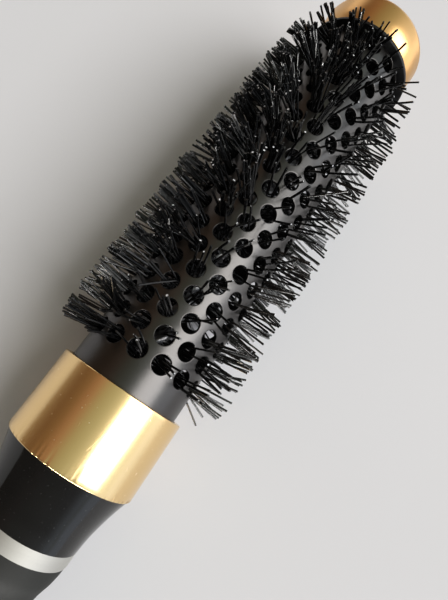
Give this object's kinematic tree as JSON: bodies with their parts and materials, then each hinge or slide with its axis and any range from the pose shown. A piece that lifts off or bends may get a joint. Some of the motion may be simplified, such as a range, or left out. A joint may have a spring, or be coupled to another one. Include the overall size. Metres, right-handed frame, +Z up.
{
  "type": "round barrel brush",
  "caption": "Round thermal hair brush: perforated dark metal barrel with black nylon tufts, gold ferrule and flared end cap, gloss black and rubber handle.",
  "frame": {"origin": "centre of the flat face at the handle's butt end", "axes": "+X along the brush's axis from butt to tip, +Z up through a tuft of every second ring of holes, +Y across"},
  "size_m": [0.2515, 0.041, 0.041],
  "materials": {
    "barrel_coat": "satin dark ceramic coat on aluminium",
    "bristle_nylon": "glossy black nylon filaments, loosely bundled",
    "core_steel": "drawn steel wire",
    "inner_plastic": "moulded, matt",
    "gold_ferrule": "bright gold anodised",
    "gold_cap": "satin gold metallised",
    "ring_black": "moulded, semi gloss",
    "gloss_black": "lacquered, gloss",
    "satin_silver": "satin silver",
    "grip_rubber": "soft touch, matt",
    "butt_plastic": "moulded, gloss"
  },
  "bodies": {
    "root": {"barrel": "barrel_coat", "bristle_ring_01": "bristle_nylon", "bristle_ring_02": "bristle_nylon", "bristle_ring_03": "bristle_nylon", "bristle_ring_04": "bristle_nylon", "bristle_ring_05": "bristle_nylon", "bristle_ring_06": "bristle_nylon", "bristle_ring_07": "bristle_nylon", "bristle_ring_08": "bristle_nylon", "bristle_ring_09": "bristle_nylon", "bristle_ring_10": "bristle_nylon", "bristle_ring_11": "bristle_nylon", "bristle_ring_12": "bristle_nylon", "bristle_ring_13": "bristle_nylon", "bristle_ring_14": "bristle_nylon", "bristle_ring_15": "bristle_nylon", "bristle_ring_16": "bristle_nylon", "bristle_ring_17": "bristle_nylon", "bristle_ring_18": "bristle_nylon", "bristle_ring_19": "bristle_nylon", "bristle_ring_20": "bristle_nylon", "core_wire_a": "core_steel", "core_wire_b": "core_steel", "core_collar": "core_steel", "root_bush": "inner_plastic", "ferrule": "gold_ferrule", "ferrule_liner": "inner_plastic", "end_ring": "ring_black", "end_cap": "gold_cap", "handle_collar": "gloss_black", "silver_ring": "satin_silver", "grip_sleeve": "grip_rubber", "handle_core": "inner_plastic", "butt_cap": "butt_plastic"}
  },
  "joints": []
}
